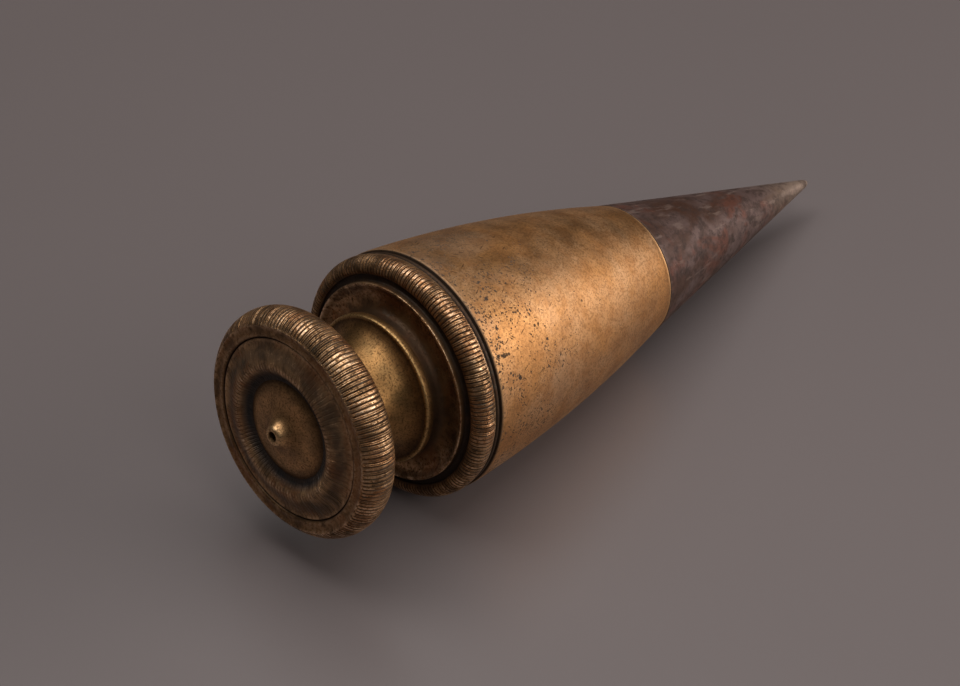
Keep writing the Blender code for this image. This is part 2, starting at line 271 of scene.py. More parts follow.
def body_runs():
    """Seam corner, belly and foot outside; stud hole, knot room, mouth and seat inside."""
    rows = 60
    depths = np.linspace(0.75, BODY_LENGTH - 0.75, rows)
    belly = [(belly_radius(d), -d, 0.0, 0.0) for d in depths]
    edge = SEAM_RADIUS - 0.02
    seam_corner = [(edge - 0.45, -SEAM_GAP, 1.0, 0.0),
                   (edge - 0.14, -SEAM_GAP - 0.05, 0.9, 0.0),
                   (edge - 0.03, -SEAM_GAP - 0.22, 0.5, 0.2),
                   (edge - 0.02, -SEAM_GAP - 0.4, 0.15, 0.2)]
    foot_radius = belly_radius(BODY_LENGTH)
    foot_corner = [(foot_radius + 0.03, -BODY_LENGTH + 0.45, 0.0, 0.35),
                   (foot_radius + 0.02, -BODY_LENGTH + 0.12, 0.0, 0.9),
                   (foot_radius - 0.06, -BODY_LENGTH + 0.02, 0.1, 0.9),
                   (foot_radius - 0.6, -BODY_LENGTH, 0.9, 0.2)]
    face = [(STUD_HOLE_RADIUS + 0.3, -BODY_LENGTH, 0.8, 0.0),
            (STUD_HOLE_RADIUS, -BODY_LENGTH + 0.3, 0.8, 0.0)]
    hole = [(STUD_HOLE_RADIUS, -47.0, 0.9, 0.0),
            (STUD_HOLE_RADIUS - 0.8, -45.4, 0.9, 0.0),
            (0.5, -45.2, 0.9, 0.0)]
    room = [(0.5, -24.4, 0.9, 0.0),
            (8.8, -22.2, 0.9, 0.0),
            (9.0, -21.8, 0.9, 0.0),
            (9.0, -11.7, 0.8, 0.0),
            (9.2, -11.5, 0.8, 0.0)]
    mouth = [(16.1, -11.5, 0.8, 0.0),
             (MOUTH_RADIUS, -11.2, 0.8, 0.0),
             (MOUTH_RADIUS, -SEAT_DEPTH - 0.3, 0.5, 0.2),
             (MOUTH_RADIUS + 0.3, -SEAT_DEPTH, 0.5, 0.4)]
    seat = [(SEAT_RADIUS - 0.1, -SEAT_DEPTH, 0.7, 0.0),
            (SEAT_RADIUS, -SEAT_DEPTH + 0.1, 0.7, 0.0),
            (SEAT_RADIUS, -SEAM_GAP - 0.1, 0.7, 0.3),
            (SEAT_RADIUS + 0.15, -SEAM_GAP, 0.9, 0.2)]
    outside = seam_corner + belly + foot_corner
    inside = face + hole + room + mouth + seat
    return [stretch(outside, BODY_SIDES), stretch(inside, BODY_SIDES)]


def steel_runs():
    """Down from the stud's end, over the shoulder and along the cone to the tip."""
    top = -BODY_LENGTH - 0.02
    stud_top = -BODY_LENGTH - 0.3 + STUD_LENGTH
    stud_end = [(0.6, stud_top, 0.5, 0.0), (STUD_RADIUS - 0.9, stud_top, 0.5, 0.2)]
    thread_rows = 80
    thread = [(STUD_RADIUS, z, 0.5, 0.3)
              for z in np.linspace(stud_top - 0.5, top + 0.8, thread_rows)]
    shoulder = [(STUD_RADIUS - 0.4, top + 0.25, 0.8, 0.0),
                (STUD_RADIUS + 0.2, top, 0.8, 0.0),
                (POINT_RADIUS - 0.5, top, 0.8, 0.0),
                (POINT_RADIUS - 0.16, top - 0.02, 0.6, 0.2),
                (POINT_RADIUS - 0.05, top - 0.12, 0.3, 0.3)]
    rows = 60
    tip = top - POINT_LENGTH - 0.15
    cone = []
    for share in np.linspace(0.008, 0.985, rows):
        radius = POINT_RADIUS + (TIP_RADIUS - POINT_RADIUS) * share
        cone.append((radius, top - share * POINT_LENGTH, 0.0, max(0.0, share * 3.0 - 2.0)))
    nose = [(TIP_RADIUS + 0.02, tip + 0.75, 0.0, 1.0),
            (TIP_RADIUS - 0.2, tip + 0.22, 0.0, 1.0),
            (0.25, tip, 0.0, 1.0)]
    return [stretch(stud_end, SMALL_SIDES // 2), stretch(thread, SMALL_SIDES, thread=True),
            stretch(shoulder + cone + nose, SMALL_SIDES)]


def cap_runs():
    """Pedestal, dish, ring, knurled bead, plain band, threaded skirt and hollow."""
    plain = CAP_RIDGES * PLAIN_PER_RIDGE
    fine = CAP_RIDGES * SAMPLES_PER_RIDGE
    top = 8.2
    socket = [(BORE_RADIUS, 2.8, 0.9, 0.0), (BORE_RADIUS, 5.9, 0.9, 0.0),
              (SPIGOT_SOCKET_RADIUS, 5.9, 0.9, 0.0), (SPIGOT_SOCKET_RADIUS, top, 0.9, 0.0)]
    pedestal = curve([(14.0, top, 1.0, 0.0), (14.2, top - 0.2, 0.7, 0.3),
                      (14.25, top - 0.9, 0.9, 0.0), (14.45, 6.3, 0.9, 0.0),
                      (15.0, 5.55, 0.8, 0.0), (16.0, 5.2, 0.35, 0.15),
                      (17.4, 5.2, 0.05, 0.4), (18.6, 5.5, 0.0, 0.5),
                      (19.45, 6.05, 0.15, 0.4), (19.95, 6.38, 0.0, 1.0)], 3)
    ring = curve([(20.15, 6.42, 0.0, 1.0), (20.35, 6.36, 0.1, 1.0), (20.42, 6.1, 0.5, 0.4),
                  (20.4, 5.5, 0.9, 0.1), (20.55, 5.02, 1.0, 0.0), (21.1, 4.85, 1.0, 0.0),
                  (21.6, 4.86, 1.0, 0.0)], 3)
    bead = curve([(21.8, 5.2, 0.8, 0.0), (22.5, 5.5, 0.35, 0.3), (23.4, 5.32, 0.1, 0.8),
                  (24.25, 4.75, 0.0, 1.0), (24.83, 3.9, 0.0, 1.0), (25.0, 3.0, 0.0, 1.0),
                  (24.88, 2.1, 0.0, 1.0), (24.6, 1.25, 0.2, 0.8)], 4)
    band = [(24.45, 1.1, 1.0, 0.0), (24.42, 0.98, 1.0, 0.0), (24.54, 0.85, 1.0, 0.0),
            (24.64, 0.6, 0.9, 0.1), (24.6, 0.3, 1.0, 0.0), (24.4, SEAM_GAP, 1.0, 0.0)]
    under = [(SKIRT_RADIUS + 0.9, SEAM_GAP, 0.7, 0.2),
             (SKIRT_RADIUS + 0.02, SEAM_GAP - 0.1, 0.8, 0.0)]
    thread_rows = 48
    thread = [(SKIRT_RADIUS, z, 0.55, 0.3)
              for z in np.linspace(-SEAM_GAP - 0.9, -SKIRT_LENGTH + 0.4, thread_rows)]
    hollow = [(SKIRT_RADIUS - 0.9, -SKIRT_LENGTH, 0.5, 0.3),
              (SKIRT_BORE_RADIUS + 0.3, -SKIRT_LENGTH, 0.5, 0.3),
              (SKIRT_BORE_RADIUS, -SKIRT_LENGTH + 0.3, 0.6, 0.2),
              (SKIRT_BORE_RADIUS, 2.2, 0.8, 0.0),
              (SKIRT_BORE_RADIUS - 0.3, 2.5, 0.9, 0.0),
              (BORE_RADIUS, 2.5, 0.8, 0.0)]
    return [stretch(socket + pedestal + ring, plain),
            stretch(bead, fine, CAP_RIDGES, KNURL_DEPTH),
            stretch(band + under, plain),
            stretch(thread, plain, thread=True),
            stretch(hollow, plain)]


def neck_runs():
    """A waisted spool with a stepped foot."""
    spigot = [(BORE_RADIUS, 25.1, 0.9, 0.0), (SPIGOT_RADIUS, 25.1, 0.9, 0.0),
              (SPIGOT_RADIUS, 23.25, 0.9, 0.0), (11.2, 23.2, 0.9, 0.0)]
    # Darkening that rises towards the foot is partly painted shade on the neck's lower part.
    waist = curve([(11.4, 23.1, 0.8, 0.1), (11.15, 22.6, 0.6, 0.1), (10.75, 21.8, 0.3, 0.2),
                   (10.45, 20.6, 0.15, 0.2), (10.4, 19.2, 0.1, 0.2), (10.5, 17.4, 0.1, 0.2),
                   (10.8, 15.6, 0.1, 0.2), (11.3, 13.8, 0.1, 0.25), (12.05, 12.2, 0.2, 0.2),
                   (12.9, 11.1, 0.35, 0.1), (13.7, 10.45, 0.6, 0.0), (14.15, 10.2, 0.8, 0.0)], 5)
    foot = curve([(14.35, 10.14, 0.7, 0.1), (14.6, 10.22, 0.3, 0.4), (14.95, 10.2, 0.1, 0.9),
                  (15.2, 10.02, 0.1, 1.0), (15.3, 9.7, 0.35, 0.4), (15.3, 9.1, 0.5, 0.1),
                  (15.22, 8.55, 0.8, 0.0), (14.9, 8.42, 1.0, 0.0)], 4)
    bottom = [(SPIGOT_RADIUS, 8.4, 0.9, 0.0), (SPIGOT_RADIUS, 6.5, 0.9, 0.0),
              (BORE_RADIUS, 6.5, 0.9, 0.0)]
    return [stretch(spigot + waist + foot + bottom, BODY_SIDES)]


def knob_runs():
    """A mushroom: pocket, smooth lip, knurled rim and plain underside."""
    plain = KNOB_RIDGES * PLAIN_PER_RIDGE
    fine = KNOB_RIDGES * SAMPLES_PER_RIDGE
    pocket = [(BORE_RADIUS, 25.6, 0.9, 0.0), (BORE_RADIUS, 29.6, 0.9, 0.0),
              (18.32, 29.6, 1.0, 0.0), (18.35, 31.2, 1.0, 0.0)]
    lip = curve([(18.4, 31.75, 0.95, 0.0), (18.55, 32.0, 0.6, 0.3), (18.85, 32.1, 0.3, 0.5),
                 (19.4, 32.0, 0.35, 0.3), (20.0, 31.96, 0.4, 0.25), (20.5, 32.06, 0.3, 0.5),
                 (20.75, 32.14, 0.15, 0.8)], 4)
    rim = curve([(20.85, 32.16, 0.1, 0.9), (21.4, 31.8, 0.05, 1.0), (22.1, 31.1, 0.0, 1.0),
                 (22.8, 30.0, 0.0, 1.0), (23.15, 28.7, 0.0, 1.0), (23.15, 27.5, 0.0, 0.9),
                 (22.85, 26.2, 0.1, 0.6), (22.2, 25.1, 0.3, 0.3), (21.3, 24.45, 0.7, 0.1)], 4)
    under = curve([(21.1, 24.4, 0.9, 0.0), (19.2, 24.05, 0.7, 0.05), (16.6, 23.75, 0.6, 0.05),
                   (12.2, 23.52, 0.8, 0.0)], 4)
    socket = [(SPIGOT_SOCKET_RADIUS, 23.5, 0.9, 0.0), (SPIGOT_SOCKET_RADIUS, 25.5, 0.9, 0.0),
              (BORE_RADIUS + 0.1, 25.5, 0.9, 0.0)]
    return [stretch(pocket + lip, plain), stretch(rim, fine, KNOB_RIDGES, KNURL_DEPTH),
            stretch(under + socket, plain)]


def ring_runs():
    """The low convex face ring, knurled from its edge over the crest to the inside."""
    plain = RING_RIDGES * PLAIN_PER_RIDGE
    fine = RING_RIDGES * SAMPLES_PER_RIDGE
    ledge = [(BORE_RADIUS, 29.95, 0.9, 0.0), (BORE_RADIUS, 30.9, 0.9, 0.0),
             (9.95, 30.9, 1.0, 0.0), (9.96, 31.4, 1.0, 0.0)]
    # Brightening on the crest is partly rubbing and partly a painted highlight.
    # Darkening in the valley by the disc and on the outer slope is painted shade.
    crown = curve([(9.97, 31.75, 1.0, 0.0), (10.35, 31.9, 1.0, 0.0), (11.0, 32.15, 1.0, 0.0),
                   (11.8, 32.8, 0.75, 0.05), (12.4, 33.15, 0.3, 0.6), (13.0, 33.3, 0.1, 1.0),
                   (13.8, 33.2, 0.4, 0.3), (15.0, 32.75, 0.7, 0.05), (16.2, 32.2, 0.65, 0.05),
                   (17.2, 31.9, 0.4, 0.15), (17.85, 31.82, 0.2, 0.4)], 4)
    edge = [(18.12, 31.78, 0.3, 0.4), (18.25, 31.66, 0.9, 0.1), (18.28, 31.0, 1.0, 0.0),
            (18.28, 30.1, 1.0, 0.0), (18.0, 29.9, 1.0, 0.0)]
    return [stretch(ledge, plain), stretch(crown, fine, RING_RIDGES, FACE_KNURL_DEPTH),
            stretch(edge, plain)]


def spindle_runs():
    """Nipple, disc, hollow shank and the line's bore."""
    # Darkening towards the disc's edge is painted shade of the valley round the disc, beside the
    # dark joint.
    nipple = curve([(1.02, 35.5, 0.8, 0.4), (1.2, 35.6, 0.2, 1.0), (1.6, 35.56, 0.1, 1.0),
                    (1.92, 35.3, 0.1, 0.9), (2.3, 34.7, 0.15, 0.5), (2.85, 33.95, 0.3, 0.3),
                    (3.7, 33.35, 0.5, 0.15), (4.9, 32.98, 0.4, 0.2), (6.4, 32.75, 0.25, 0.25),
                    (8.0, 32.5, 0.35, 0.2), (9.0, 32.2, 0.6, 0.1), (9.7, 31.86, 1.0, 0.0)], 4)
    rim = [(9.93, 31.76, 1.0, 0.0), (9.93, 31.25, 1.0, 0.0), (9.5, 31.2, 1.0, 0.0)]
    shank = [(4.0, 31.2, 0.8, 0.0), (4.0, -4.3, 0.6, 0.2), (3.7, -4.6, 0.5, 0.3)]
    bore = [(1.5, -4.6, 0.8, 0.0), (1.5, 30.1, 1.0, 0.0), (0.98, 30.6, 1.0, 0.0),
            (0.98, 35.3, 1.0, 0.0)]
    return [stretch(nipple + rim + shank + bore, SMALL_SIDES)]


# ---- Material nodes --------------------------------------------------------------
class Finish:
    """A material under construction; each method adds a node and returns its output."""

    def __init__(self, name):
        self.material = bpy.data.materials.new(name)
        self.material.use_nodes = True
        self.tree = self.material.node_tree
        self.shader = self.tree.nodes["Principled BSDF"]
        self.place = self.add("ShaderNodeTexCoord").outputs["Object"]

    def add(self, kind, settings=None, inputs=None):
        node = self.tree.nodes.new(kind)
        for key, value in (settings or {}).items():
            setattr(node, key, value)
        for key, value in (inputs or {}).items():
            self.feed(node.inputs[key], value)
        return node

    def feed(self, socket, value):
        if isinstance(value, bpy.types.NodeSocket):
            self.tree.links.new(value, socket)
        elif isinstance(value, tuple) and socket.type == "RGBA" and len(value) == 3:
            socket.default_value = (*value, 1.0)
        else:
            socket.default_value = value

    def attribute(self, name):
        return self.add("ShaderNodeAttribute", {"attribute_name": name}).outputs["Fac"]

    def scaled(self, factors):
        """Object coordinates multiplied by three factors, in millimetres."""
        return self.add("ShaderNodeMapping", {"vector_type": "POINT"},
                        {"Vector": self.place, "Scale": tuple(f / MM for f in factors)}
                        ).outputs["Vector"]

    def unrolled(self, angle, across, along):
        """The surface laid flat, turned by an angle, in cells across by along mm in size."""
        flat = self.add("ShaderNodeCombineXYZ", None,
                        {"X": self.attribute("round"), "Y": self.attribute("arc")})
        return self.add("ShaderNodeMapping", {"vector_type": "TEXTURE"},
                        {"Vector": flat.outputs["Vector"], "Rotation": (0.0, 0.0, angle),
                         "Scale": (across, along, 1.0)}).outputs["Vector"]

    def noise(self, vector, scale, detail=4.0, rough=0.55, warp=0.0):
        return self.add("ShaderNodeTexNoise", {"noise_dimensions": "3D"},
                        {"Vector": vector, "Scale": scale, "Detail": detail,
                         "Roughness": rough, "Distortion": warp}).outputs["Fac"]

    def line_noise(self, value, scale, detail=3.0):
        return self.add("ShaderNodeTexNoise", {"noise_dimensions": "1D"},
                        {"W": value, "Scale": scale, "Detail": detail}).outputs["Fac"]

    def cells(self, vector, scale, dimensions="3D"):
        """Scattered points: the distance to the nearest, and a chance from 0 to 1 for each."""
        node = self.add("ShaderNodeTexVoronoi",
                        {"feature": "F1", "voronoi_dimensions": dimensions},
                        {"Vector": vector, "Scale": scale})
        split = self.add("ShaderNodeSeparateColor", None, {"Color": node.outputs["Color"]})
        return node.outputs["Distance"], split.outputs["Red"]

    def spots(self, vector, scale):
        """Distance to the nearest of the scattered points."""
        return self.cells(vector, scale)[0]

    def math(self, operation, a, b=0.0):
        node = self.add("ShaderNodeMath", {"operation": operation})
        self.feed(node.inputs[0], a)
        self.feed(node.inputs[1], b)
        return node.outputs["Value"]

    def between(self, value, low, high, to_low=0.0, to_high=1.0):
        """A smooth step from to_low at low to to_high at high."""
        return self.add("ShaderNodeMapRange", {"interpolation_type": "SMOOTHSTEP"},
                        {"Value": value, "From Min": low, "From Max": high,
                         "To Min": to_low, "To Max": to_high}).outputs["Result"]

    def mix(self, share, a, b):
        """The colour a where share is 0, b where it is 1."""
        node = self.add("ShaderNodeMix", {"data_type": "RGBA", "blend_type": "MIX"})
        self.feed(node.inputs[MIX_SHARE], share)
        self.feed(node.inputs[MIX_FIRST_COLOUR], a)
        self.feed(node.inputs[MIX_SECOND_COLOUR], b)
        return node.outputs[MIX_COLOUR]

    def bump(self, height, distance, strength):
        """A normal bent by a height map; distance is the map's full height in mm."""
        return self.add("ShaderNodeBump", None,
                        {"Height": height, "Distance": distance * MM,
                         "Strength": strength}).outputs["Normal"]

    def done(self, colour, roughness, metallic, normal):
        for key, value in (("Base Color", colour), ("Roughness", roughness),
                           ("Metallic", metallic), ("Normal", normal)):
            self.feed(self.shader.inputs[key], value)
        return self.material


# ---- Finishes --------------------------------------------------------------------
def scratches(finish, angle, width, length, share):
    """Short straight scratches at one angle, width by length mm, in a share of the cells."""
    near, chance = finish.cells(finish.unrolled(angle, 4.0 * width, 1.6 * length), 1.0, "2D")
    line = finish.between(near, 0.1, 0.3, 1.0, 0.0)
    return finish.math("MULTIPLY", line, finish.math("LESS_THAN", chance, share))


def specks(finish, scale, biggest, ragged):
    """Spots of many sizes with ragged edges; most are far smaller than the biggest."""
    near, chance = finish.cells(finish.place, scale)
    radius = finish.math("MULTIPLY", finish.math("POWER", chance, 4.0), biggest)
    edge = finish.math("SUBTRACT", finish.math("ADD", near, ragged), radius)
    return finish.between(edge, -0.04, 0.04, 1.0, 0.0)


def body_brass():
    """Orange brown patina, specked and scratched, with a pale painted highlight towards the seam.
    """
    f = Finish("aged body brass")
    height = f.math("MULTIPLY", f.add("ShaderNodeSeparateXYZ", None, {"Vector": f.place}
                                      ).outputs["Z"], 1.0 / MM)
    near_seam = f.between(height, -38.0, -1.0)
    cloud = f.noise(f.place, 55.0, 5.0, 0.6, 0.4)
    mottle = f.noise(f.place, 260.0, 5.0, 0.65)
    grain = f.noise(f.place, 1900.0, 4.0, 0.7)
    golden = f.mix(f.between(cloud, 0.35, 0.65), (0.60, 0.30, 0.11), (0.64, 0.375, 0.19))
    golden = f.mix(f.between(mottle, 0.4, 0.68, 0.0, 0.6), golden, (0.46, 0.205, 0.07))
    golden = f.mix(f.between(grain, 0.46, 0.6, 0.0, 0.55), golden, (0.27, 0.13, 0.05))
    # Pale pinkish patches towards the seam: a painted highlight.
    painted_seam_highlight = f.between(f.noise(f.place, 70.0, 4.0, 0.6, 0.5), 0.46, 0.62)
    golden = f.mix(f.math("MULTIPLY", painted_seam_highlight, f.math("MULTIPLY", near_seam, 0.3)), golden,
                   (0.50, 0.35, 0.245))

    ragged = f.math("MULTIPLY", f.math("SUBTRACT", grain, 0.5), 0.9)
    crowd = f.math("MULTIPLY", f.math("ADD", near_seam, 0.3),
                   f.between(f.noise(f.place, 120.0, 3.0), 0.4, 0.62, 0.35, 1.0))
    coarse = specks(f, 560.0, f.math("MULTIPLY", crowd, 0.3), ragged)
    fine = specks(f, 1300.0, f.math("MULTIPLY", crowd, 0.42), ragged)
    dust = specks(f, 2700.0, f.math("MULTIPLY", crowd, 0.8), ragged)
    flakes = f.between(f.noise(f.place, 105.0, 7.0, 0.8, 0.4), 0.655, 0.67, 0.0, 0.9)
    flakes = f.math("MULTIPLY", flakes, f.between(height, -42.0, -16.0))
    dirt_and_shade = f.math("MAXIMUM", f.math("MAXIMUM", coarse, flakes),
                  f.math("MULTIPLY", f.math("MAXIMUM", fine, dust), 0.85))
    dirt_and_shade = f.math("MAXIMUM", dirt_and_shade, f.attribute("grime_and_shade"))
    scratch = f.math("MAXIMUM", scratches(f, 0.75, 0.12, 1.6, 0.05),
                     scratches(f, -0.5, 0.1, 2.4, 0.03))
    scratch = f.math("MULTIPLY", scratch, f.math("ADD", near_seam, 0.25))
    dark = f.mix(f.between(mottle, 0.4, 0.6), (0.026, 0.015, 0.009), (0.045, 0.036, 0.030))
    colour = f.mix(f.math("MULTIPLY", dirt_and_shade, 0.92), golden, dark)
    colour = f.mix(f.math("MULTIPLY", scratch, 0.8), colour, (0.05, 0.026, 0.014))
    colour = f.mix(f.math("MULTIPLY", f.attribute("rub"), 0.6), colour, (0.74, 0.47, 0.24))

    rough = f.between(f.noise(f.place, 150.0, 4.0), 0.3, 0.7, 0.45, 0.56)
    rough = f.math("ADD", rough, f.math("MULTIPLY", dirt_and_shade, 0.25))
    relief = f.math("SUBTRACT", f.math("MULTIPLY", grain, 0.7), dirt_and_shade)
    relief = f.math("SUBTRACT", relief, f.math("MULTIPLY", scratch, 0.5))
    normal = f.bump(relief, 0.07, 0.6)
    metal = f.math("SUBTRACT", 1.0, f.math("MULTIPLY", dirt_and_shade, 0.6))
    return f.done(colour, rough, metal, normal)


def dark_brass(name, base, worn_and_highlight, grime_and_shade, packed, turning=0.25):
    """Dark patina, bright where the knurl crests and edges are rubbed, soiling packed in grooves;
    on the face ring the dark also paints shade in the valleys and the bright a highlight on the
    crest.
    """
    f = Finish(name)
    mottle = f.noise(f.place, 240.0, 5.0, 0.62, 0.3)
    grain = f.noise(f.place, 1500.0, 4.0, 0.7)
    colour = f.mix(f.between(mottle, 0.4, 0.62), base, tuple(0.4 * c for c in base))
    ruddy = f.between(f.noise(f.place, 130.0, 4.0, 0.65), 0.48, 0.62, 0.0, 0.65)
    colour = f.mix(ruddy, colour, (0.44, 0.17, 0.05))
    # Brightened where rubbed; on the face ring's crest this is partly a painted highlight.
    wear_and_highlight = f.math("MULTIPLY", f.attribute("rub"), f.between(mottle, 0.62, 0.38, 0.25, 1.0))
    wear_and_highlight = f.math("MULTIPLY", wear_and_highlight, f.between(f.attribute("groove"), 0.0, 0.45, 1.0, 0.0))
    wear_and_highlight = f.math("MULTIPLY", wear_and_highlight, f.between(grain, 0.56, 0.44, 0.2, 1.0))
    colour = f.mix(wear_and_highlight, colour, worn_and_highlight)
    # Darkened where soiled and packed in the grooves; on the face ring this also paints shade in
    # the valleys.
    dirt_and_shade = f.math("MAXIMUM", f.math("MULTIPLY", f.attribute("grime_and_shade"),
                                    f.between(mottle, 0.3, 0.7, 1.0, 0.88)),
                  f.between(f.attribute("groove"), 0.12, 0.55, 0.0, packed))
    worn_out = f.between(grain, 0.55, 0.64, 0.0, 0.7)
    dirt_and_shade = f.math("MAXIMUM", dirt_and_shade, worn_out)
    colour = f.mix(dirt_and_shade, colour, grime_and_shade)
    verdigris = f.between(f.noise(f.place, 120.0, 4.0, 0.7), 0.6, 0.68, 0.0, 0.35)
    colour = f.mix(f.math("MULTIPLY", verdigris, dirt_and_shade), colour, (0.08, 0.10, 0.08))
    rough = f.math("ADD", f.between(grain, 0.3, 0.7, 0.27, 0.44), f.math("MULTIPLY", dirt_and_shade, 0.2))
    lines = f.line_noise(f.attribute("arc"), 9.0)
    relief = f.math("ADD", f.math("MULTIPLY", lines, turning), f.math("MULTIPLY", grain, 0.9))
    relief = f.math("SUBTRACT", relief, worn_out)
    normal = f.bump(relief, 0.07, 0.7)
    metal = f.math("SUBTRACT", 0.97, f.math("MULTIPLY", dirt_and_shade, 0.4))
    return f.done(colour, rough, metal, normal)


def neck_brass(name, base, worn_and_highlight):
    """Satin brass with fine turning marks, mottled and finely speckled; darker where soiled, and
    towards the neck's foot and the disc's edge also with painted shade.
    """
    f = Finish(name)
    lines = f.line_noise(f.attribute("arc"), 6.0, 5.0)
    grain = f.noise(f.place, 2400.0, 4.0, 0.75)
    mottle = f.noise(f.place, 210.0, 6.0, 0.68)
    colour = f.mix(f.between(mottle, 0.4, 0.62), base, tuple(0.4 * c for c in base))
    colour = f.mix(f.between(lines, 0.45, 0.65, 0.0, 0.5), colour, tuple(0.45 * c for c in base))
    colour = f.mix(f.attribute("rub"), colour, worn_and_highlight)
    colour = f.mix(f.between(grain, 0.48, 0.62, 0.0, 0.75), colour, tuple(0.2 * c for c in base))
    # Darkened where soiled; towards the neck's foot and the disc's edge this is also painted
    # shade.
    dirt_and_shade = f.math("MULTIPLY", f.attribute("grime_and_shade"), f.between(mottle, 0.2, 0.6, 1.0, 0.7))
    colour = f.mix(dirt_and_shade, colour, (0.03, 0.017, 0.007))
    rough = f.math("ADD", f.between(grain, 0.3, 0.7, 0.3, 0.46), f.math("MULTIPLY", dirt_and_shade, 0.2))
    relief = f.math("ADD", f.math("MULTIPLY", lines, 0.5), grain)
    normal = f.bump(relief, 0.05, 0.6)
    metal = f.math("SUBTRACT", 0.97, f.math("MULTIPLY", dirt_and_shade, 0.4))
    return f.done(colour, rough, metal, normal)


def rusted_steel():
    """Brown and grey oxide drawn out along the cone, rubbed paler towards the tip."""
    f = Finish("rusted steel")
    cloud = f.noise(f.scaled((1.0, 1.0, 0.4)), 0.11, 5.0, 0.62, 0.5)
    streak = f.noise(f.scaled((1.0, 1.0, 0.12)), 0.6, 4.0, 0.6)
    mottle = f.noise(f.place, 420.0, 5.0, 0.7)
    colour = f.mix(f.between(cloud, 0.4, 0.6), (0.075, 0.032, 0.018), (0.155, 0.098, 0.084))
    red = f.between(f.noise(f.place, 75.0, 5.0, 0.65, 0.7), 0.52, 0.62)
    colour = f.mix(f.math("MULTIPLY", red, 0.8), colour, (0.15, 0.05, 0.028))
    colour = f.mix(f.between(mottle, 0.42, 0.66, 0.0, 0.8), colour, (0.040, 0.021, 0.015))
    colour = f.mix(f.between(streak, 0.56, 0.68, 0.0, 0.4), colour, (0.30, 0.21, 0.17))
    pits = f.between(f.spots(f.place, 800.0), 0.08, 0.2, 0.8, 0.0)
    pits = f.math("MULTIPLY", pits, f.between(mottle, 0.45, 0.6))
    colour = f.mix(pits, colour, (0.02, 0.012, 0.009))
    rubbed = f.math("MULTIPLY", f.attribute("rub"), f.between(mottle, 0.7, 0.35, 0.2, 0.9))
    colour = f.mix(rubbed, colour, (0.42, 0.31, 0.23))
    colour = f.mix(f.attribute("grime_and_shade"), colour, (0.04, 0.022, 0.016))
    rough = f.between(mottle, 0.3, 0.7, 0.4, 0.6)
    relief = f.math("SUBTRACT", f.math("MULTIPLY", mottle, 0.7), pits)
    normal = f.bump(relief, 0.12, 0.6)
    metal = f.between(cloud, 0.3, 0.7, 0.35, 0.6)
    return f.done(colour, rough, metal, normal)


def leather():
    """Dark pressed leather with fine pores."""
    f = Finish("pressed leather")
    pores = f.spots(f.place, 1900.0)
    tone = f.noise(f.place, 300.0, 5.0, 0.6)
    colour = f.mix(f.between(tone, 0.35, 0.65), (0.10, 0.05, 0.028), (0.055, 0.028, 0.016))
    colour = f.mix(f.between(pores, 0.05, 0.25, 0.7, 0.0), colour, (0.02, 0.011, 0.007))
    normal = f.bump(f.math("ADD", pores, tone), 0.08, 0.7)
    return f.done(colour, f.between(tone, 0.3, 0.7, 0.6, 0.85), 0.0, normal)


def inner_brass():
    """Turned brass kept from the air: yellower, with a little tarnish."""
    f = Finish("inner brass")
    tone = f.noise(f.place, 320.0, 5.0, 0.6)
    grain = f.noise(f.scaled((1.0, 1.0, 6.0)), 1.3, 4.0, 0.6)
    colour = f.mix(f.between(tone, 0.4, 0.7), (0.56, 0.36, 0.14), (0.34, 0.20, 0.08))
    colour = f.mix(f.between(grain, 0.6, 0.75, 0.0, 0.5), colour, (0.16, 0.09, 0.04))
    normal = f.bump(grain, 0.03, 0.4)
    return f.done(colour, f.between(tone, 0.3, 0.7, 0.3, 0.45), 1.0, normal)


def table_top():
    """Smooth grey board with a low sheen and specks of dust."""
    f = Finish("grey table")
    cloud = f.noise(f.place, 3.0, 3.0)
    colour = f.mix(f.between(cloud, 0.3, 0.7), (0.160, 0.134, 0.130), (0.168, 0.141, 0.137))
    dust = f.between(f.spots(f.place, 28.0), 0.008, 0.016, 1.0, 0.0)
    colour = f.mix(f.math("MULTIPLY", dust, 0.5), colour, (0.5, 0.47, 0.45))
    normal = f.bump(f.noise(f.place, 900.0, 2.0), 0.01, 0.15)
    return f.done(colour, 0.42, 0.0, normal)


# ---- Placing ---------------------------------------------------------------------
joint = next(j for j in frame["joints"] if j["name"] == "cap_turn")
SEAM = Vector(joint["pos_m"])
AXIS = Vector(joint["axis"]).normalized()
ACROSS = Vector((0.0, 1.0, 0.0))
ABOVE = ACROSS.cross(AXIS)
BOB = Matrix.Translation(SEAM) @ Matrix((ABOVE, AXIS.cross(ABOVE), AXIS)).transposed().to_4x4()


def show(name, node, body, finish, mesh):
    """Put a finished piece in place of its CAD node, moving with the node's body."""
    mesh.materials.append(finish)
    mesh.shade_smooth()
    mesh.set_sharp_from_angle(angle=math.radians(SHARP_EDGE_DEGREES))
    piece = bpy.data.objects.new(name, mesh)
    bpy.context.scene.collection.objects.link(piece)
    piece.matrix_world = BOB
    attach(piece, body)
    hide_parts(node)


def repaint(node, finish):
    """Give a CAD node that stays visible its finish."""
    mesh = frame["nodes"][node].data
    mesh.materials.clear()
    mesh.materials.append(finish)


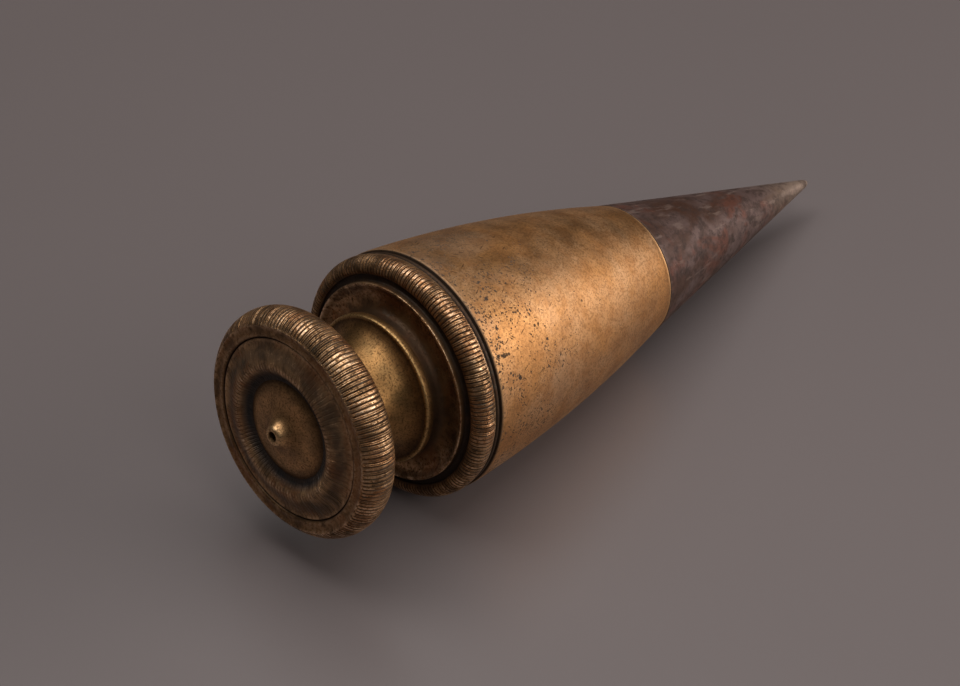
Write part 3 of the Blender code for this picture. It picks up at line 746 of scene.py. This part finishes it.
def build_bob():
    """The seven pieces that show, and finishes for the three held inside."""
    patina = dark_brass("dark knurled brass", (0.50, 0.25, 0.09), (0.97, 0.68, 0.43),
                        (0.018, 0.011, 0.007), 0.85)
    # Its rubbed colour is partly a painted highlight on the crest.
    # The face's darkest colour, a grey, is painted shade with a painted grey-blue sheen in the
    # ring's valleys.
    face = dark_brass("dark face brass", (0.78, 0.44, 0.20), (0.97, 0.74, 0.50),
                      (0.040, 0.035, 0.033), 0.5, 0.5)
    satin = neck_brass("satin neck brass", (0.36, 0.172, 0.055), (0.66, 0.40, 0.16))
    disc = neck_brass("brown disc brass", (0.80, 0.41, 0.16), (0.95, 0.60, 0.30))
    plan = (
        ("body_shell", "body", "bob_body", "body_brass", body_brass(), body_runs()),
        ("steel_cone", "steel_point", "point", "point_steel", rusted_steel(), steel_runs()),
        ("cap_shell", "cap", "head", "head_brass", patina, cap_runs()),
        ("neck_spool", "neck", "head", "neck_brass", satin, neck_runs()),
        ("knob_shell", "knob", "head", "head_brass", patina, knob_runs()),
        ("face_ring_knurled", "face_ring", "head", "head_brass", face, ring_runs()),
        ("spindle_disc", "line_spindle", "head", "neck_brass", disc, spindle_runs()),
    )
    for order, (name, node, body, slot, finish, runs) in enumerate(plan):
        solid = node == "steel_point"
        mesh = turned_mesh(name, runs, SEED + SEED_STEP * order, closed=not solid)
        show(name, node, body, finish, mesh)
    repaint("seat_washer", leather())
    plain = inner_brass()
    repaint("nut_washer", plain)
    repaint("spindle_nut", plain)


# ---- Table, light and camera -------------------------------------------------------
CAMERA_TURN = math.radians(-44.756)     # where the camera's right points, round Z
CAMERA_DIP = math.radians(40.191)       # how far the camera looks down
CAMERA_LENS = 86.25
SENSOR_WIDTH = 36.0
SEAM_DISTANCE = 0.44943                 # metres ahead of the camera to the seam's middle
SEAM_LEFT = 0.01364                     # metres that the seam lies left of the view's middle
SEAM_DOWN = 0.00551                     # and below it

RIGHT = Vector((math.cos(CAMERA_TURN), math.sin(CAMERA_TURN), 0.0))
LEVEL = Vector((-math.sin(CAMERA_TURN), math.cos(CAMERA_TURN), 0.0))
UP = Vector((0.0, 0.0, 1.0))
FORWARD = math.cos(CAMERA_DIP) * LEVEL - math.sin(CAMERA_DIP) * UP
UPRIGHT = math.sin(CAMERA_DIP) * LEVEL + math.cos(CAMERA_DIP) * UP


def place_camera():
    """The photograph's viewpoint, placed from the seam."""
    data = bpy.data.cameras.new("camera")
    data.lens = CAMERA_LENS
    data.sensor_width = SENSOR_WIDTH
    data.clip_start = 0.01
    camera = bpy.data.objects.new("camera", data)
    bpy.context.scene.collection.objects.link(camera)
    spot = SEAM + SEAM_LEFT * RIGHT + SEAM_DOWN * UPRIGHT - SEAM_DISTANCE * FORWARD
    turn = Matrix((RIGHT, UPRIGHT, -FORWARD)).transposed().to_4x4()
    camera.matrix_world = Matrix.Translation(spot) @ turn
    bpy.context.scene.camera = camera


def soft_light(name, direction, distance, width, height, power, colour):
    """A softbox facing the seam; sizes in metres, power in watts."""
    data = bpy.data.lights.new(name, "AREA")
    data.shape = "RECTANGLE"
    data.size = width
    data.size_y = height
    data.energy = power
    data.color = colour
    light = bpy.data.objects.new(name, data)
    bpy.context.scene.collection.objects.link(light)
    way = direction.normalized()
    light.location = SEAM + way * distance
    light.rotation_euler = way.to_track_quat("Z", "Y").to_euler()


def build_table():
    half = TABLE_HALF_WIDTH
    corners = [(-half, -half, 0.0), (half, -half, 0.0), (half, half, 0.0), (-half, half, 0.0)]
    mesh = bpy.data.meshes.new("table")
    mesh.from_pydata(corners, [], [(0, 1, 2, 3)])
    mesh.materials.append(table_top())
    table = bpy.data.objects.new("table", mesh)
    table.location = (0.0, 0.0, FLOOR_HEIGHT * MM)
    bpy.context.scene.collection.objects.link(table)


def build_lights():
    """Four softboxes and a faint room; directions are from the seam, as the camera sees it."""
    overhead = 0.1 * RIGHT + 0.15 * LEVEL + UP
    soft_light("overhead_softbox", overhead, distance=1.3, width=1.5, height=1.2,
               power=12.0, colour=(1.0, 0.97, 0.96))
    side = 0.97 * RIGHT + 0.34 * UP
    soft_light("side_softbox", side, distance=0.9, width=0.85, height=0.45,
               power=4.6, colour=(1.0, 0.95, 0.92))
    left = -0.5 * RIGHT + 0.15 * LEVEL + 0.9 * UP
    soft_light("left_softbox", left, distance=1.1, width=0.6, height=0.6,
               power=1.7, colour=(1.0, 0.98, 0.98))
    front = 0.4 * RIGHT - 0.6 * LEVEL + 0.75 * UP
    soft_light("front_softbox", front, distance=1.0, width=0.35, height=0.35,
               power=0.9, colour=(1.0, 0.97, 0.95))

    world = bpy.data.worlds.new("room")
    world.use_nodes = True
    room = world.node_tree.nodes["Background"]
    room.inputs["Color"].default_value = (0.95, 0.96, 1.0, 1.0)
    room.inputs["Strength"].default_value = 0.01
    bpy.context.scene.world = world


def set_colours():
    """Plain display colours, with no film look."""
    settings = bpy.context.scene.view_settings
    settings.view_transform = "Standard"
    settings.look = "None"
    settings.exposure = 0.0
    settings.gamma = 1.0


build_bob()
build_table()
build_lights()
set_colours()
place_camera()
